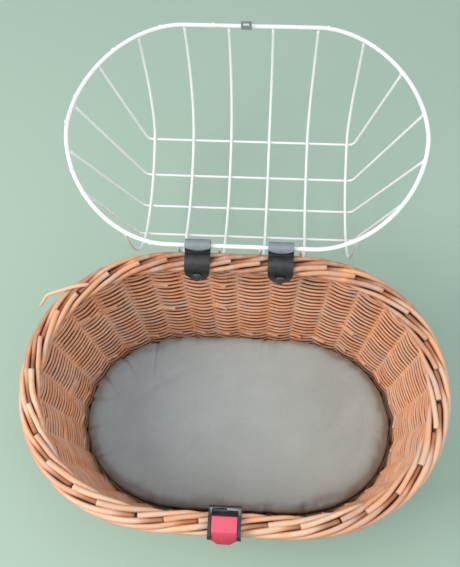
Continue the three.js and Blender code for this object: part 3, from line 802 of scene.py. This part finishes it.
def borderRod(stake, turn, sink, dice):
    shares = (stake + (turn - border["climb"][0]) / border["turnPerStake"]) / basket["stakes"]
    along = np.linspace(0.0, 1.0, len(turn))
    size = border["rodRadius"] * dice.uniform(1.0 - border["uneven"], 1.0 + border["uneven"])
    radius = size * (1.0 + wobble(along, dice, *border["alongUneven"]))
    sway = wobble(along, dice, *border["sway"])
    depth = basket["borderRadius"] - radius - sink
    core = onBorder(shares, turn, np.zeros(len(turn)))
    # painted shade: the rods darken towards the back
    shadedBack = max(0.0, core[len(core) // 2][1] / basket["borderHalf"][1])
    rod = {"points": onBorder(shares, turn + sway, depth), "radius": radius,
           "tone": dice.random() - border["backShade"] * shadedBack}
    return shaded(rod, border["facets"], core, basket["borderRadius"], border["gloom"])


def makeBorder():
    dice = random.Random(border["seed"])
    steps = border["steps"]
    climb = np.linspace(*border["climb"], steps)
    started = smoothStep(climb[0], climb[0] + border["startSpan"], climb)
    low, high = border["dive"]
    endFrom, endTo = border["end"]
    rods = []
    for k in range(basket["stakes"]):
        stake = k + border["stagger"] * (dice.random() - 0.5)
        late = either(dice, border["diveSpread"])
        sink = border["diveDepth"] * smoothStep(low + late, high + late, climb)
        sink = sink + border["startDepth"] * (1.0 - started)
        rods.append(borderRod(stake, climb, sink + border["lieDepth"] * dice.random(), dice))
        turn = np.linspace(endFrom + either(dice, border["endSpread"]), endTo, steps)
        sink = border["tuckDepth"] * smoothStep(border["tuckFrom"], endTo, turn)
        rods.append(borderRod(stake + border["endLag"], turn, sink, dice))
    willowPiece("rolledBorder", rods, border["facets"], [peeledWillow, willowPith], "rim_border")
    print("border rolled")


# a dark ring in the middle of the rolled border, seen only through the gaps between its rods: painted shade
borderPaintedShade = dict(radius=0.0058, steps=160, facets=12)


def makeBorderPaintedShade():
    shares = evenShares(borderPaintedShade["steps"])
    points, outward = ovalPoints(rimOval(basket["borderHalf"]), shares, basket["borderZ"])
    rod = {"points": points, "side": outward, "radius": borderPaintedShade["radius"], "closed": True}
    willowPiece("borderPaintedShade", [rod], borderPaintedShade["facets"], [paintedShadeWillow])


strayRod = dict(
    route=[(-0.1780, 0.1180, 0.2560), (-0.1870, 0.1146, 0.2610), (-0.1965, 0.1115, 0.2635),
           (-0.2060, 0.1085, 0.2625), (-0.2165, 0.1055, 0.2600), (-0.2285, 0.1026, 0.2572),
           (-0.2305, 0.1005, 0.2560), (-0.2345, 0.0952, 0.2522), (-0.2395, 0.0889, 0.2470)],
    radius=[0.0028, 0.0028, 0.0027, 0.0026, 0.0025, 0.0024, 0.0022, 0.0021, 0.0018],
    tone=0.9, facets=8, levels=1,
)


def makeStrayRod():
    rod = {"points": np.array(strayRod["route"]), "radius": np.array(strayRod["radius"]),
           "tone": strayRod["tone"]}
    stray = sweepRods("brokenRod", [rod], strayRod["facets"], [peeledWillow, willowPith])
    roundOff(stray, strayRod["levels"])
    seat(stray, "basket", "willow")


makeWall()
makeStakes()
makeWeaverEnds()
makeFoot()
makeBase()
makeBorder()
makeBorderPaintedShade()
makeStrayRod()
print("basket done")


# Lid of welded wires

hingeJoint = next(joint for joint in frame["joints"] if joint["name"] == "lid_hinge")
hingeSpot = np.array(hingeJoint["pos_m"])
lid = dict(
    halfLength=0.229, halfWidth=0.15575, straight=0.090, fullness=1.84,
    frameRadius=0.00275, hoopRadius=0.0019, longRadius=0.00175, weldGap=0.0003,
    shoulderHeight=0.169, shoulderReach=0.074, crown=0.036, hoopFullness=0.55,
    hoopSink=0.0012,  # how far a hoop's foot reaches into the frame wire's coating
    hoopFrontX=(0.0295, 0.089, 0.149), hoopTopX=(0.028, 0.084, 0.142), hoopHingeX=(0.025, 0.075, 0.141),
    wireReach=(0.074, 0.0245), wireSpread=(0.091, 0.032), wireFlat=0.152, wireBend=0.009,
    uneven=((5, 11, 17), 0.025), frameFacets=14, wireFacets=12, seed=21,
)
lidSteps = dict(frame=220, side=26, crown=22, bend=9, slope=14, flat=24)
lidOval = (lid["halfLength"], lid["halfWidth"], lid["straight"], lid["fullness"])
wireClear = lid["hoopRadius"] + lid["longRadius"] + lid["weldGap"]


def openLid(points):
    # from the shut lid, with its hinge wire on X, to where the lid hangs open
    turn = -math.radians(hingeJoint["range_deg"][1])
    points = np.atleast_2d(points)
    turned = points.copy()
    turned[:, 1] = points[:, 1] * math.cos(turn) - points[:, 2] * math.sin(turn)
    turned[:, 2] = points[:, 1] * math.sin(turn) + points[:, 2] * math.cos(turn)
    return turned + hingeSpot


def onLid(x, ahead, height):
    return np.array([x, -(lid["halfWidth"] + ahead), height])


def bezier(knots, count):
    t = np.linspace(0.0, 1.0, count)[:, None]
    layers = [np.array(knot)[None, :] + 0.0 * t for knot in knots]
    while len(layers) > 1:
        layers = [a * (1.0 - t) + b * t for a, b in zip(layers, layers[1:])]
    return layers[0]


def joined(*runs):
    points = [runs[0]] + [run[1:] for run in runs[1:]]
    return np.concatenate(points)


def crownKnots(x):
    reach, height = lid["shoulderReach"], lid["shoulderHeight"]
    return [onLid(x, reach, height), onLid(x, 0.0, height + lid["crown"]), onLid(x, -reach, height)]


def hoopSide(topX, endX, side):
    reach = ovalWidthAt(endX, *lidOval)
    low = lid["frameRadius"] + lid["weldGap"]
    shoulder, height = lid["shoulderReach"], lid["shoulderHeight"]
    out = lid["hoopFullness"] * (reach - shoulder)
    fall = out * lid["crown"] / shoulder
    knots = [onLid(topX, side * shoulder, height),
             onLid(topX, side * (shoulder + out), height - fall),
             onLid(endX, side * reach, low + lid["hoopFullness"] * (height - low)),
             onLid(endX, side * reach, low - lid["hoopSink"])]
    return bezier(knots, lidSteps["side"])


def hoopPoints(index, hand):
    topX = hand * lid["hoopTopX"][index]
    front = hoopSide(topX, hand * lid["hoopFrontX"][index], 1.0)[::-1]
    hinge = hoopSide(topX, hand * lid["hoopHingeX"][index], -1.0)
    return joined(front, bezier(crownKnots(topX), lidSteps["crown"]), hinge)


def wireSpot(reach, clear):
    # how far ahead and how high a wire lies that is clear of the hoops' shared top arc
    share = 0.5 - reach / (2.0 * lid["shoulderReach"])
    a, b, c = crownKnots(0.0)
    spot = a * (1 - share) ** 2 + 2.0 * b * share * (1 - share) + c * share ** 2
    slope = unit(2.0 * (b - a) * (1 - share) + 2.0 * (c - b) * share)
    return -spot[1] - lid["halfWidth"] + slope[2] * clear, spot[2] + slope[1] * clear


def longWirePoints(index, side):
    ahead, height = wireSpot(lid["wireReach"][index], wireClear)
    endX = ovalLengthAt(lid["wireSpread"][index], *lidOval)
    corner = onLid(lid["wireFlat"], side * ahead, height)
    end = onLid(endX, side * lid["wireSpread"][index], 0.0)
    fall = unit(end - corner)
    end = end - fall * lid["frameRadius"]
    flat = corner + np.array([-lid["wireBend"], 0.0, 0.0])
    drop = corner + fall * lid["wireBend"]
    bend = bezier([flat, corner, drop], lidSteps["bend"])
    slopeRun = bezier([drop, end], lidSteps["slope"])
    mirror = np.array([-1.0, 1.0, 1.0])
    middle = bezier([flat * mirror, flat], lidSteps["flat"])
    return joined(slopeRun[::-1] * mirror, bend[::-1] * mirror, middle, bend, slopeRun)


def wirePiece(node, rod, facets):
    seat(sweepRods(pieceName(node), [rod], facets, [wireCoating]), "lid", "wire_coating", node)


def makeFrameWire():
    ring, outward = ovalPoints(lidOval, evenShares(lidSteps["frame"]))
    ring[:, 1] -= lid["halfWidth"]
    side = openLid(outward) - hingeSpot
    rod = {"points": openLid(ring), "side": side, "radius": lid["frameRadius"], "closed": True}
    wirePiece("lid_frame_wire", rod, lid["frameFacets"])


def makeLidWire(node, points, radius, dice):
    shares = np.linspace(0.0, 1.0, len(points))
    radius = radius * (1.0 + wobble(shares, dice, *lid["uneven"]))
    wirePiece(node, {"points": openLid(points), "radius": radius}, lid["wireFacets"])


def makeLidWires():
    dice = random.Random(lid["seed"])
    places = [(2, -1.0), (1, -1.0), (0, -1.0), (0, 1.0), (1, 1.0), (2, 1.0)]  # from left to right
    for k, place in enumerate(places, 1):
        makeLidWire(f"lid_hoop_{k}", hoopPoints(*place), lid["hoopRadius"], dice)
    places = [(0, 1.0), (1, 1.0), (1, -1.0), (0, -1.0)]  # from the front edge to the hinge
    for k, place in enumerate(places, 1):
        makeLidWire(f"lid_long_wire_{k}", longWirePoints(*place), lid["longRadius"], dice)


welds = dict(
    crossing=0.0021,  # radius of a bead where wires cross
    hoopFoot=0.0027, wireEnd=0.0026, wireEndInset=0.0012,
    drip=0.0029, dripOut=0.0008, dripHeight=-0.0004,
    drips=(0.09, 0.205, 0.335, 0.45, 0.505, 0.535, 0.60, 0.655, 0.71, 0.83),  # places round the frame
    squeeze=(0.92, 0.2),  # least, and what chance adds
    seed=22,
)


def weldPlaces():
    places = []
    for hand in (-1.0, 1.0):
        for topX in lid["hoopTopX"]:
            for reach in lid["wireReach"]:
                ahead, height = wireSpot(reach, wireClear / 2.0)
                for side in (-1.0, 1.0):
                    places.append((onLid(hand * topX, side * ahead, height), welds["crossing"]))
        for frontX, hingeX in zip(lid["hoopFrontX"], lid["hoopHingeX"]):
            for side, x in ((1.0, frontX), (-1.0, hingeX)):
                place = onLid(hand * x, side * ovalWidthAt(x, *lidOval), lid["frameRadius"])
                places.append((place, welds["hoopFoot"]))
        for spread in lid["wireSpread"]:
            x = ovalLengthAt(spread, *lidOval) - welds["wireEndInset"]
            for side in (-1.0, 1.0):
                place = onLid(hand * x, side * spread, lid["frameRadius"])
                places.append((place, welds["wireEnd"]))
    ring, outward = ovalPoints(lidOval, welds["drips"])
    for spot in ring + outward * welds["dripOut"]:
        places.append((onLid(spot[0], -spot[1], welds["dripHeight"]), welds["drip"]))
    return places


def makeWelds():
    # beads of coating that fill the welded crossings
    dice = random.Random(welds["seed"])
    deselectAll()
    beads = []
    for place, radius in weldPlaces():
        bpy.ops.mesh.primitive_uv_sphere_add(segments=12, ring_count=8,
                                             radius=radius, location=openLid(place)[0])
        bead = bpy.context.object
        bead.rotation_euler = (dice.random(), dice.random(), dice.random())
        bead.scale = [chance(dice, *welds["squeeze"]) for _ in range(3)]
        beads.append(bead)
    makeActive(beads[0])
    for bead in beads:
        bead.select_set(True)
    bpy.ops.object.join()
    piece = bpy.context.object
    piece.name = "lidWelds"
    bpy.ops.object.transform_apply(location=True, rotation=True, scale=True)
    bpy.ops.object.shade_smooth()
    setFinish(piece, wireCoating)
    seat(piece, "lid", "wire_coating")
    print("lid welded,", len(beads), "beads")


makeFrameWire()
makeLidWires()
makeWelds()


# Moulded and turned pieces, from the frame's own solids with softened edges

dressing = dict(flatAngle=0.5, bevelAngle=36.0, bevelSegments=3, smoothAngle=38.0, leverSmoothAngle=20.0)
softEdges = dict(strap=0.0005, screw=0.0003, nut=0.0008, saddle=0.0006, lever=0.0008,
                 pin=0.0002, spring=0.0001, striker=0.0003)


def dressNode(node, body, slotName, finish, edge, smoothAngle=dressing["smoothAngle"]):
    piece = mergedCopy(node, pieceName(node), dressing["flatAngle"])
    bevel = piece.modifiers.new("softEdge", "BEVEL")
    bevel.width = softEdges[edge]
    bevel.segments = dressing["bevelSegments"]
    bevel.limit_method = "ANGLE"
    bevel.angle_limit = math.radians(dressing["bevelAngle"])
    applyModifiers(piece)
    bpy.ops.object.shade_smooth_by_angle(angle=math.radians(smoothAngle))
    setFinish(piece, finish)
    return seat(piece, body, slotName, node)


strapLap = dict(
    thickness=0.0007,
    start=-30.0,  # degrees round the loop, from the outside over the top
    sideTo=135.0, middleTo=169.0, smoothAngle=40.0,
)


def makeStrapLap(node, name):
    # the strap's end, laid over its loop and rounded off
    low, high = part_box(node)
    middle = np.array([(low.x + high.x) / 2, *hingeSpot[1:]])
    radius = high.z - middle[2]
    deselectAll()
    bpy.ops.mesh.primitive_grid_add(x_subdivisions=20, y_subdivisions=28, size=1.0)
    lap = bpy.context.object
    lap.name = name
    flat = readPoints(lap)
    reach = strapLap["middleTo"] - (strapLap["middleTo"] - strapLap["sideTo"]) * (2.0 * flat[:, 0]) ** 2
    angle = np.radians(reach + (strapLap["start"] - reach) * (flat[:, 1] + 0.5))
    bent = np.stack([flat[:, 0] * (high.x - low.x), radius * np.cos(angle), radius * np.sin(angle)], axis=1)
    writePoints(lap, bent + middle)
    sheet = lap.modifiers.new("sheet", "SOLIDIFY")
    sheet.thickness = strapLap["thickness"]
    sheet.offset = 1.0
    applyModifiers(lap)
    bpy.ops.object.shade_smooth_by_angle(angle=math.radians(strapLap["smoothAngle"]))
    # the lap is coloured lighter than the strap: painted sky reflection
    setFinish(lap, plastics["strapSkySheen"])
    seat(lap, "basket", "strap_plastic")


# where the painted top light falls on the clasp's saddle and lever
paintedTopLight = dict(
    saddle=dict(level=(0.3, 0.9), low=(-0.0148, -0.1405), high=(0.0148, -0.12)),
    lever=dict(level=(0.86, 0.97), low=(-0.1, -0.3), high=(0.1, 0.0)),
)


def paintTopLight(piece, level, low, high):
    # painted light: the faces that look up are coloured lighter, as the sky's reflection and the light
    # falling on them, between two corners of the plan
    flat = readPoints(piece)[:, :2]
    within = np.all((flat > low) & (flat < high), axis=1)
    fade = smoothStep(*level, readNormals(piece)[:, 2]) * within
    layer = piece.data.attributes.new("paintedTopLight", "FLOAT", "POINT")
    layer.data.foreach_set("value", fade)


def makeHinge(hand):
    strap = f"hinge_strap_{hand}"
    dressNode(strap, "basket", "strap_plastic", plastics["strapBlack"], "strap")
    makeStrapLap(strap, f"strapLap{hand.capitalize()}")
    dressNode(f"hinge_screw_{hand}", "basket", "steel", zincSteel, "screw")
    dressNode(f"hinge_cone_nut_{hand}", "basket", "nut_plastic", plastics["nutBlack"], "nut")


def makeClasp():
    saddle = dressNode("clasp_saddle", "basket", "clasp_black", plastics["claspBlack"], "saddle")
    paintTopLight(saddle, **paintedTopLight["saddle"])
    lever = dressNode("clasp_lever", "clasp_lever", "clasp_red", plastics["leverRed"], "lever",
                      dressing["leverSmoothAngle"])
    paintTopLight(lever, **paintedTopLight["lever"])
    dressNode("clasp_pin", "basket", "steel", zincSteel, "pin")
    spring = dressNode("clasp_leaf_spring", "basket", "steel", zincSteel, "spring")
    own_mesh(spring)
    dressNode("clasp_screw", "basket", "steel", zincSteel, "screw")
    dressNode("clasp_cone_nut", "basket", "nut_plastic", plastics["nutBlack"], "nut")


makeHinge("left")
makeHinge("right")
makeClasp()
dressNode("lid_striker", "lid", "steel", zincSteel, "striker")
print("hinge and clasp dressed")


# Cushion

cushion = dict(
    voxel=0.0062, levels=2,
    seamZ=0.0373, seamDepth=0.0012, seamWidth=0.0022,
    fullness=1.6, crown=0.0245, flatFrom=0.0005,
    shoulder=4.0,  # how squarely the top turns down to the seam
    smoothBelow=0.006,  # wrinkles start this far under the seam
    fullAbove=0.003,
)
puffing = dict(
    frames=20,
    settings={"quality": 5, "mass": 0.25, "use_pressure": True, "uniform_pressure_force": 4.0,
              "shrink_min": -0.025, "tension_stiffness": 12.0, "bending_stiffness": 0.4},
    sideRoom=0.0012, rise=0.006, dip=-0.002, undersideZ=0.018,
)
gathers = dict(
    puckers=[0.36, 0.41, 0.445, 0.48, 0.52, 0.56],  # the deepest, round the left end
    puckerWidth=0.0024, puckerDepth=0.0038,
    count=60, skew=0.5,
    length=(0.022, 0.05),  # least, and what chance adds
    width=(0.0028, 0.0035), depth=(0.0005, 0.0018),
    rightShare=0.25,  # of that depth at the right end
    runOut=1.3, overEdge=0.006, lean=0.15, seed=31,
)
creases = dict(
    count=16, depth=0.0017, angle=(25.0, 60.0),
    reach=(0.14, 0.07),  # from the cushion's middle, each way
    width=(0.005, 0.010), length=(0.03, 0.06), bow=0.8,
)


def copyForCushion():
    pad = mergedCopy("cushion_core", "cushion")
    remesh = pad.modifiers.new("voxels", "REMESH")
    remesh.mode = "VOXEL"
    remesh.voxel_size = cushion["voxel"]
    applyModifiers(pad)
    return pad


def puff(pad):
    start = readPoints(pad)
    cloth = pad.modifiers.new("puff", "CLOTH")
    for key, value in puffing["settings"].items():
        setattr(cloth.settings, key, value)
    cloth.settings.effector_weights.gravity = 0.0
    cloth.point_cache.frame_start = 1
    cloth.point_cache.frame_end = puffing["frames"]
    for number in range(1, puffing["frames"] + 1):
        bpy.context.scene.frame_set(number)
    applyModifiers(pad)
    bpy.context.scene.frame_set(1)
    moved = readPoints(pad) - start
    flat = np.linalg.norm(moved[:, :2], axis=1)
    moved[:, :2] *= np.minimum(1.0, puffing["sideRoom"] / np.maximum(flat, tiny))[:, None]
    moved[:, 2] = np.clip(moved[:, 2], puffing["dip"], puffing["rise"])
    under = start[:, 2] < puffing["undersideZ"]
    moved[under, 2] = np.maximum(moved[under, 2], 0.0)
    writePoints(pad, start + moved)


def fillOut(pad):
    # well filled: the top stays flat almost to the seam
    points = readPoints(pad)
    height = points[:, 2] - cushion["seamZ"]
    above = height > cushion["flatFrom"]
    power = cushion["shoulder"]
    raised = (cushion["fullness"] * height[above]) ** -power + cushion["crown"] ** -power
    points[above, 2] = cushion["seamZ"] + np.maximum(height[above], raised ** (-1.0 / power))
    writePoints(pad, points)


def quarterTurn(direction):
    return np.array([-direction[1], direction[0]])


def addGathers(sink, points, dice):
    # short folds that run in from the seam, deeper on the left
    size = rimOval((np.ptp(points[:, 0]) / 2, np.ptp(points[:, 1]) / 2))
    for share in gathers["puckers"] + [dice.random() for _ in range(gathers["count"])]:
        spot, outward = ovalPoints(size, [share])
        inward = -outward[0][:2]
        skew = gathers["skew"] * (dice.random() - 0.5)
        inward = unit(inward + skew * quarterTurn(inward))
        away = points[:, :2] - spot[0][:2]
        along = away @ inward
        across = away @ quarterTurn(inward) + gathers["lean"] * along
        length = chance(dice, *gathers["length"])
        if share in gathers["puckers"]:
            width, depth = gathers["puckerWidth"], gathers["puckerDepth"]
        else:
            left = 0.5 - 0.5 * spot[0][0] / size[0]
            width = chance(dice, *gathers["width"])
            depth = chance(dice, *gathers["depth"])
            depth = depth * (gathers["rightShare"] + (1.0 - gathers["rightShare"]) * left)
        fade = np.clip(1.0 - along / length, 0.0, 1.0) ** gathers["runOut"] * (along > -gathers["overEdge"])
        sink += depth * fade * np.exp(-(across / width) ** 2)


def addCreases(sink, points, dice):
    for _ in range(creases["count"]):
        angle = math.radians(dice.uniform(*creases["angle"]))
        direction = np.array([math.cos(angle), math.sin(angle)])
        away = points[:, :2] - np.array([either(dice, reach) for reach in creases["reach"]])
        along = away @ direction
        across = away @ quarterTurn(direction) + creases["bow"] * along ** 2
        width = dice.uniform(*creases["width"])
        length = dice.uniform(*creases["length"])
        crease = np.exp(-(along / length) ** 2 - (across / width) ** 2)
        sink += creases["depth"] * dice.random() * crease


def wrinkle(pad):
    dice = random.Random(gathers["seed"])
    points = readPoints(pad)
    sink = np.zeros(len(points))
    addGathers(sink, points, dice)
    addCreases(sink, points, dice)
    low, high = cushion["seamZ"] - cushion["smoothBelow"], cushion["seamZ"] + cushion["fullAbove"]
    sink = sink * smoothStep(low, high, points[:, 2])
    points -= readNormals(pad) * sink[:, None]
    seam = np.exp(-((points[:, 2] - cushion["seamZ"]) / cushion["seamWidth"]) ** 2)
    points[:, :2] -= unit(points[:, :2] + tiny) * (cushion["seamDepth"] * seam)[:, None]
    writePoints(pad, points)


def makeCushion():
    pad = copyForCushion()
    puff(pad)
    roundOff(pad, cushion["levels"])
    fillOut(pad)
    wrinkle(pad)
    bpy.ops.object.shade_smooth()
    setFinish(pad, greyCloth)
    seat(pad, "cushion", "cushion_fabric", "cushion_core", "cushion_cover")
    print("cushion puffed,", len(pad.data.polygons), "faces")


makeCushion()


# Floor, lamps and camera

studio = dict(
    floorSize=9.0, worldColour=(0.86, 0.945, 1.0), worldStrength=0.54,
    lamps=[  # name, place, what it points at, size, watts and colour
        ("keyLamp", (-1.20, -0.25, 1.44), (0.05, 0.0, 0.1), 0.9, 21.5, (1.0, 0.955, 0.90)),
        ("topLamp", (0.1, -0.1, 2.1), (0.0, 0.0, 0.1), 1.2, 8.5, (1.0, 1.0, 1.0)),
        ("fillLamp", (1.3, -0.35, 1.2), (0.0, 0.0, 0.2), 1.2, 8.0, (0.94, 0.975, 1.0)),
    ],
)
floorLook = dict(
    pattern=dict(scale=1.2, detail=3.0),
    stops=[(0.3, (0.38415, 0.5122, 0.42355)), (0.7, (0.39, 0.52, 0.43))],
    inputs={"Roughness": 0.9},
)


def makeStudio():
    deselectAll()
    bpy.ops.mesh.primitive_plane_add(size=studio["floorSize"])
    ground = bpy.context.object
    ground.name = "studioFloor"
    setFinish(ground, plainFinish("paleFloor", floorLook))
    world = bpy.data.worlds.new("studioSky")
    world.use_nodes = True
    sky = world.node_tree.nodes["Background"]
    setInputs(sky, {"Color": (*studio["worldColour"], 1.0), "Strength": studio["worldStrength"]})
    bpy.context.scene.world = world
    for name, place, target, size, power, colour in studio["lamps"]:
        bpy.ops.object.light_add(type="AREA", location=place)
        lamp = bpy.context.object
        lamp.name = name
        lamp.data.size = size
        lamp.data.energy = power
        lamp.data.color = colour
        lamp.rotation_euler = (Vector(target) - Vector(place)).to_track_quat("-Z", "Y").to_euler()
    bpy.context.scene.view_settings.view_transform = "Standard"


view = dict(
    place=(0.0437, -0.2237, 1.2164), elevation=69.79, azimuth=-8.66, roll=-5.92,
    focusPixels=850.0, frameHeight=567.0, sensor=36.0,
)


def makeCamera():
    rise, swing, roll = (math.radians(view[key]) for key in ("elevation", "azimuth", "roll"))
    ahead = Vector((math.sin(swing) * math.cos(rise), math.cos(swing) * math.cos(rise), -math.sin(rise)))
    level = Vector((math.cos(swing), -math.sin(swing), 0.0))
    top = level.cross(ahead)
    right = math.cos(roll) * level + math.sin(roll) * top
    top = -math.sin(roll) * level + math.cos(roll) * top
    turned = Matrix((right, top, -ahead)).transposed().to_4x4()
    camera = addObject("photoCamera", bpy.data.cameras.new("photoCamera"))
    camera.matrix_world = Matrix.Translation(view["place"]) @ turned
    camera.data.sensor_width = view["sensor"]
    camera.data.lens = view["sensor"] * view["focusPixels"] / view["frameHeight"]
    camera.data.clip_start = 0.01
    bpy.context.scene.camera = camera


makeStudio()
makeCamera()
print("studio ready")
